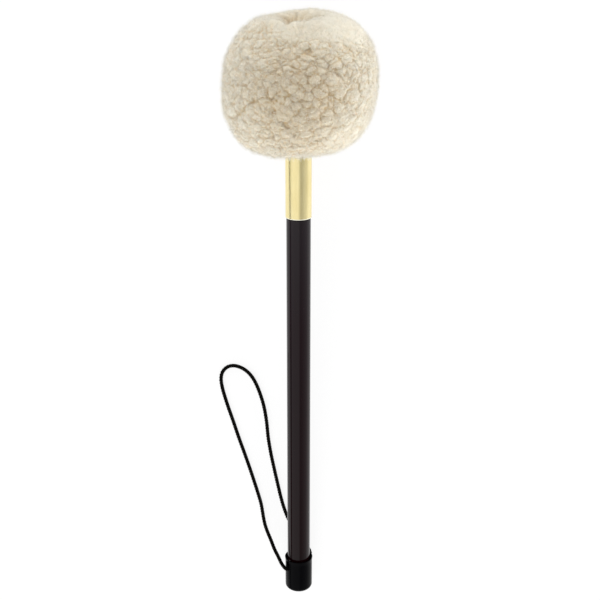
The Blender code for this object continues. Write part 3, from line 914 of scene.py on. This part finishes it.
def pleats(base):
    """The gathered end: valleys run out from the mouth and a smooth roll lies across it.

    Each valley fades as exp(-away/width) to its sides. The roll is a bell across a sloping
    line, and the notch a bell both ways.
    """
    across, up, height = base[..., 0], base[..., 1], base[..., 2]
    radius = np.hypot(across - MOUTH[0], up - MOUTH[1])
    degrees = np.degrees(np.arctan2(across - MOUTH[0], up - MOUTH[1]))
    degrees = degrees + TWIST * np.sin(TWIST_RATE * radius)
    total = -PIT_DEPTH * np.exp(-((radius / PIT_R) ** 2))
    for middle, depth, width, reach in PLEATS:
        away = np.abs((degrees - middle + 180.0) % 360.0 - 180.0)
        beyond = np.exp(-(((radius - VALLEY_START) / reach) ** 2))
        fade = np.where(radius < VALLEY_START, radius / VALLEY_START, beyond)
        total = total - depth * np.exp(-away / width) * fade
    from_line = (up - ROLL_UP - ROLL_SLOPE * across) / ROLL_WIDTH
    roll = np.exp(-(from_line**2) - ((across - ROLL_ACROSS) / ROLL_REACH) ** 4)
    roll = (1.0 - across / ROLL_LEAN) * roll
    sideways, lengthways = (across - NOTCH_ACROSS) / NOTCH_WIDTH, (up - NOTCH_UP) / NOTCH_REACH
    notch = np.exp(-(sideways**2) - lengthways**2)
    total = total + ROLL_HEIGHT * roll - NOTCH_DEPTH * notch
    return total * smoothstep(height, *END_FROM)


def fleece_relief(base, height):
    """Height of the pile over the cover, its tint, how rough it is and how cracked, at each point.

    Warped cells make rounded clumps of about 6 mm with smaller curls on them. The crevices
    between clumps fade as exp(-edge/width), and open widest where a slow noise crosses its
    middle. A smoother band lies under the mouth and a smoother flank towards +X.
    """
    flat = base * PILE_STRETCH
    warp, curl, lobes = drift(flat, *WARP), drift(flat, *CURL), drift(flat, *LOBES)
    by_warp, by_curl, by_lobes = CLUMP_BENDS
    bent = flat + by_warp * warp + by_curl * curl + by_lobes * lobes
    clump, edge, own = lump_field(bent, *CLUMPS)
    by_curl, by_lobes = CURL_BENDS
    small, small_edge, small_own = lump_field(flat + by_curl * curl + by_lobes * lobes, *CURLS)
    crossing = (soft_noise(flat + CREASE_BEND * warp, *CREASES) - 0.5) / CREASE_WIDTH
    least, by_noise, on_crease = OPENING
    opening = least + by_noise * soft_noise(flat, *OPENINGS) + on_crease * np.exp(-(crossing**2))
    fluff = soft_noise(flat, *FLUFF) - 0.5
    calm_line = height + CALM_SLOPE * base[..., 0] + CALM_SWAY * (soft_noise(base, *CALM) - 0.5)
    rough = 1.0 - CALM_SHARE * smoothstep(calm_line, *CALM_FROM)
    flank = smoothstep(base[..., 0] - FLANK_SLOPE * height, *FLANK_FROM)
    rough = rough * (1.0 - FLANK_SHARE * flank)
    crevice = CREVICE_DEPTH * opening * np.exp(-edge / CREVICE_WIDTH)
    curl_gap = CURL_GAP_DEPTH * np.exp(-small_edge / CURL_GAP_WIDTH)
    curls = CURL_HEIGHT * (small - CURL_MIDDLE) - curl_gap + FLUFF_HEIGHT * fluff
    relief = rough * (CLUMP_HEIGHT * (clump - CLUMP_MIDDLE) - crevice)
    relief += (CURL_LEFT + (1.0 - CURL_LEFT) * rough) * curls
    relief += SWELL_HEIGHT * (soft_noise(base, *SWELL) - 0.5) - PILE_SINK
    relief += pleats(base)
    curl_crack = CURL_CRACK * np.exp(-small_edge / CURL_CRACK_WIDTH)
    crack = rough * (opening * np.exp(-edge / CRACK_WIDTH) + curl_crack)
    return relief, CLUMP_TINT * own + CURL_TINT * small_own, rough, crack


def painted_shade_share(base, shape, relief, crack):
    """How much painted shade, drawn as tan, each point of the cover has, from 0 to 1, as the sum of
    its dips, cracks and other shaded places.

    A dip is how far the relief, blurred a little, lies under itself blurred more. Round the
    mouth the painted shade is a bell, and on the upper side it rises with an S curve.
    """
    sunk = CRACK_SHADE * crack
    for wide, narrow, share, full in SHADED_DIPS:
        dip = blurred(relief, wide) - blurred(relief, narrow)
        sunk = sunk + share * np.clip(dip / full, 0.0, 1.0)
    mouth = np.hypot(base[..., 0] - MOUTH[0], base[..., 1] - MOUTH[1])
    bells = sum(share * np.exp(-((mouth / width) ** 2)) for share, width in MOUTH_SHADES)
    sunk = sunk + bells * (base[..., 2] > 0.0)
    # painted shade on the upper side, fading towards the sides and the ends
    to_side, to_end = UPPER_FADE
    facing = shape[..., 1] / HEAD_R
    facing = facing - to_side * np.abs(shape[..., 0]) - to_end * np.abs(shape[..., 2])
    return np.clip(sunk + UPPER_SHADE * smoothstep(facing, 0.0, UPPER_FULL), 0.0, 1.0)


def make_head():
    """The cover: its outside turned from head_section and raised by the relief, and its lining.

    The outside is a grid of radius and height by turn, moved along its normals by the relief,
    made lopsided and flattened where it rests. The lining closes it at the mouth and neck.
    """
    radius, height = head_section(HEAD_ROWS)
    turn = np.linspace(0.0, math.tau, HEAD_COLUMNS, endpoint=False)
    spread = radius[:, None] * np.sin(turn), radius[:, None] * np.cos(turn), height[:, None]
    base = np.stack(np.broadcast_arrays(*spread), axis=-1)
    relief, tint, rough, crack = fleece_relief(base, base[..., 2])
    shape = lopsided(base + surface_normals(base) * relief[..., None])
    outer = place(shape[..., 0], shape[..., 1], HEAD_MIDDLE + shape[..., 2])
    outer[..., 2] = np.maximum(outer[..., 2], 0.0)
    # painted shade of each point of the cover, carried by the crevice attribute
    sunk = painted_shade_share(base, shape, relief, crack)
    in_radius, in_height = lining_section()
    lining = circles(in_radius, HEAD_MIDDLE + in_height, HEAD_COLUMNS)
    rings = np.concatenate([outer, lining])
    blank = np.zeros(lining.shape[:2])
    values = {
        "crevice": np.concatenate([sunk, blank]),
        "tint": np.concatenate([tint, blank + LINING_TINT]),
    }
    points = rings.reshape(-1, 3)
    quads = facing_out(points, grid_faces(len(rings), HEAD_COLUMNS, True))
    piece = mesh_of("fleece_head", points, quads, attributes=values)
    finish_piece(piece, FLEECE, "fleece", "fleece_cover")
    make_pile(outer / MM, radius, tint, sunk, rough)


def strewn_fibres(rng, outer, normal, area, rough):
    """One batch of fibres: (rows, columns, roots, middles, tips, normals, bends).

    Roots are spread evenly over the area. A fibre leans from the surface's normal by a slow
    swirl and by chance, so that neighbours lie together as locks do, and its tip bends back.
    """
    rows, columns = outer.shape[:2]
    row = np.interp(rng.random(PILE_FIBRES), area / area[-1], np.arange(rows)).astype(int)
    row = np.clip(row, 0, rows - 2)
    column = rng.integers(0, columns, PILE_FIBRES)
    share = rng.random((2, PILE_FIBRES, 1))
    near, far = outer[row, column], outer[row + 1, (column + 1) % columns]
    beside = outer[row, (column + 1) % columns]
    root = near + share[0] * (beside - near) + share[1] * (far - beside)
    out = normal[row, column]
    chance = rng.normal(size=(PILE_FIBRES, 3))
    lean = out + LEAN_SWIRL * drift(root, *LOCKS) + LEAN_CHANCE * chance
    lean /= np.linalg.norm(lean, axis=1)[:, None]
    lean = lean * np.sign(np.einsum("ij,ij->i", lean, out))[:, None] + LEAN_OUT * out
    bend = np.cross(lean, rng.normal(size=(PILE_FIBRES, 3)))
    length = rng.uniform(*FIBRE_LENGTH, PILE_FIBRES)[:, None]
    longer = rng.random((PILE_FIBRES, 1)) < LONG_SHARE
    kept_length = SHORTEST + (1.0 - SHORTEST) * rough[row, column][:, None]
    length = np.where(longer, LONG_TIMES * length, length) * kept_length
    middle = root + FIBRE_MIDDLE * length * lean + FIBRE_BEND * length * bend
    tip = root + length * (lean - FIBRE_BEND * bend)
    keep = np.minimum(middle, tip)[:, 2] > FLOOR_ROOM
    return [values[keep] for values in (row, column, root, middle, tip, out, bend)]


def make_pile(outer, radius, tint, sunk, rough):
    """Loose wool fibres over the head, each a bent three-sided strand that tapers to its tip.

    A strand is three rings, at its root, middle and tip, closed by a triangle at each end. Its
    faces point inwards.
    """
    rng = np.random.default_rng(PILE_SEED)
    normal = surface_normals(outer - outer.mean(axis=(0, 1)))
    area = np.cumsum(radius)
    angle = np.radians([0.0, 120.0, 240.0])[None, :, None]
    for batch in range(PILE_BATCHES):
        strewn = strewn_fibres(rng, outer, normal, area, rough)
        row, column, root, middle, tip, out, bend = strewn
        side = np.cross(out, bend)
        side /= np.linalg.norm(side, axis=1)[:, None] + TINY
        over = np.cross(side, out)
        ring = np.cos(angle) * side[:, None] + np.sin(angle) * over[:, None]
        line = zip((root - FIBRE_ROOT * out, middle, tip), FIBRE_RADII)
        points = np.concatenate([at[:, None] + size * ring for at, size in line], axis=1)
        first = points.shape[1] * np.arange(len(points))[:, None]
        quads = (first[..., None] + grid_faces(3, 3)).reshape(-1, 4)
        triangles = np.vstack([first + np.array([[2, 1, 0]]), first + np.array([[6, 7, 8]])])
        # painted shade: the fibre keeps most of the cover's tan at the root and none at the tip
        shade = sunk[row, column][:, None] * FIBRE_SHADE
        # painted light: the fibre's tint rises to the pale last stop at its tip
        lit_tint = FIBRE_LIT_TINT + tint[row, column][:, None] * FIBRE_TINT
        values = {"crevice": np.repeat(shade, 3, axis=1), "tint": np.repeat(lit_tint, 3, axis=1)}
        name = f"fleece_pile_{batch + 1}"
        piece = mesh_of(name, points.reshape(-1, 3) * MM, quads, triangles, values)
        finish_piece(piece, WOOL_FIBRE, "fleece")


# Floor, light and camera


def make_floor():
    """A white table: it shows white to the camera and in gloss, and keeps a faint shadow."""
    made, tree, _ = new_material("white_table")
    tree.nodes.clear()
    out = tree.nodes.new("ShaderNodeOutputMaterial")
    paint = tree.nodes.new("ShaderNodeBsdfDiffuse")
    glow = tree.nodes.new("ShaderNodeEmission")
    mix = tree.nodes.new("ShaderNodeMixShader")
    rays = tree.nodes.new("ShaderNodeLightPath").outputs
    seen = math_node(tree, "MAXIMUM", rays["Is Camera Ray"], rays["Is Glossy Ray"])
    both = math_node(tree, "MAXIMUM", seen, rays["Is Transmission Ray"])
    fill(tree, paint, {"Color": (TABLE_WHITE,) * 3})
    fill(tree, glow, {"Strength": TABLE_GLOW})
    share = math_node(tree, "MULTIPLY", both, TABLE_GLOW_SHARE)
    fill(tree, mix, {0: share, 1: paint.outputs[0], 2: glow.outputs[0]})
    fill(tree, out, {"Surface": mix.outputs[0]})
    half = TABLE_HALF
    corners = [(-half, -half, 0.0), (half, -half, 0.0), (half, half, 0.0), (-half, half, 0.0)]
    mesh = bpy.data.meshes.new("table_top")
    mesh.from_pydata(corners, [], [(0, 1, 2, 3)])
    mesh.materials.append(made)
    floor = linked("table_top", mesh)


def make_light():
    """A soft tent round the table: its brightness changes with the angle round the handle.

    Towards both ends of the handle it goes over to an even bright level.
    """
    world = bpy.data.worlds.new("soft_tent")
    bpy.context.scene.world = world
    world.use_nodes = True
    tree = world.node_tree
    parts = split_node(tree, "Generated")
    angle = math_node(tree, "ARCTAN2", parts["X"], parts["Z"])
    share = range_node(tree, angle, -math.pi / 2, math.pi / 2)
    stops = [((turn + 90) / 180, (level / TENT_STRENGTH,) * 3) for turn, level in TENT_LEVELS]
    towards = math_node(tree, "ABSOLUTE", parts["Y"])
    towards = range_node(tree, towards, *TENT_ENDS_FROM, "SMOOTHSTEP")
    ends = (TENT_ENDS / TENT_STRENGTH,) * 3
    level = mix_colour(tree, towards, ramp_node(tree, share, stops), ends)
    fill(tree, tree.nodes["Background"], {"Color": level, "Strength": TENT_STRENGTH})


def make_lamps():
    """Large soft lamps low round the table, which lift the pile's sides."""
    target = place(0.0, 0.0, HEAD_MIDDLE)
    for turn, level in LAMPS:
        data = bpy.data.lights.new(f"side_lamp_{turn}", "AREA")
        data.shape = "DISK"
        data.size = LAMP_SIZE
        data.energy = level * (math.pi * LAMP_REACH) ** 2
        lamp = linked(data.name, data)
        out = np.array([math.cos(math.radians(turn)), math.sin(math.radians(turn)), 0.0])
        lamp.location = target + out * LAMP_REACH + np.array([0.0, 0.0, LAMP_HEIGHT - target[2]])
        lean = math.atan2(LAMP_REACH, LAMP_HEIGHT - target[2])
        lamp.rotation_euler = (lean, 0.0, math.radians(turn + 90))
        lamp.visible_glossy = False
        lamp.visible_camera = False


def make_camera():
    """The photograph's camera, over the handle and turned down on it."""
    data = bpy.data.cameras.new("photo_camera")
    data.lens = LENS
    data.sensor_width = SENSOR
    data.clip_start, data.clip_end = CLIP
    camera = linked("photo_camera", data)
    camera.location = place(VIEW_ACROSS, VIEW_HEIGHT, VIEW_STATION)
    camera.rotation_euler = (LEAN - VIEW_PITCH, 0.0, 0.0)
    bpy.context.scene.camera = camera


ALONG_HANDLE = (1.0, 0.08, 1.0)  # stretch of a grain that runs along the handle
FLEECE = fleece_material("cream_fleece", sheen=0.6)
WOOL_FIBRE = fleece_material("wool_fibre", sheen=1.0)
LACQUER = lacquer_material()
FOIL = grained_material(
    "gold_foil",
    low=(0.89, 0.76, 0.38),
    high=(0.96, 0.84, 0.46),
    settings={"Metallic": 0.9, "Roughness": 0.27},
    depth=0.00002,
    strength=0.5,
    scale=420.0,
    detail=3.0,
    stretch=ALONG_HANDLE,
    turn=-LEAN,
)
VINYL = grained_material(
    "black_vinyl",
    low=(0.0004, 0.0004, 0.0008),
    high=(0.0010, 0.0010, 0.0016),
    settings={"Roughness": 0.20, "IOR": 1.13},
    depth=0.00008,
    strength=0.4,
    scale=120.0,
    detail=2.0,
)
BRAID = grained_material(
    "black_braid",
    low=(0.0008, 0.0007, 0.0005),
    high=(0.0060, 0.0046, 0.0032),
    settings={"Roughness": 0.60, "IOR": 1.15},
    scale=2400.0,
    detail=2.0,
)
# Painted highlight: a pale cream ring for the light along the film's lower edge
FILM_HIGHLIGHT = grained_material(
    "film_edge_highlight",
    low=(0.93, 0.90, 0.70),
    high=(0.98, 0.96, 0.80),
    settings={"Roughness": 0.25, "Metallic": 0.3},
    scale=300.0,
)
FELT = grained_material(
    "wool_felt",
    low=(0.50, 0.46, 0.38),
    high=(0.64, 0.60, 0.52),
    settings={"Roughness": 1.0},
    scale=500.0,
)
STRING = grained_material(
    "waxed_string",
    low=(0.55, 0.49, 0.38),
    high=(0.72, 0.66, 0.54),
    settings={"Roughness": 0.8},
    scale=900.0,
)
RUBBER = grained_material(
    "core_rubber",
    low=(0.035, 0.032, 0.030),
    high=(0.060, 0.055, 0.050),
    settings={"Roughness": 0.75},
    scale=200.0,
)
STEEL = grained_material(
    "zinc_steel",
    low=(0.50, 0.51, 0.52),
    high=(0.66, 0.66, 0.64),
    settings={"Roughness": 0.35, "Metallic": 1.0},
    depth=0.00003,
    scale=300.0,
)
WOOD = grained_material(
    "beech",
    low=(0.42, 0.25, 0.12),
    high=(0.60, 0.41, 0.23),
    settings={"Roughness": 0.6},
    scale=220.0,
    stretch=ALONG_HANDLE,
)

make_camera()
make_cord()
make_floor()
make_light()
make_lamps()
make_tube()
make_label()
make_cap()
make_head()
for name, look in {
    "felt_wrap": FELT,
    "felt_disc_top": FELT,
    "felt_disc_bottom": FELT,
    "top_drawstring": STRING,
    "neck_drawstring": STRING,
    "core": RUBBER,
    "core_washer": STEEL,
    "core_screw": STEEL,
    "tip_plug": WOOD,
    "cord_knot": BRAID,
}.items():
    dress(name, look)

bpy.context.scene.view_settings.view_transform = "Standard"
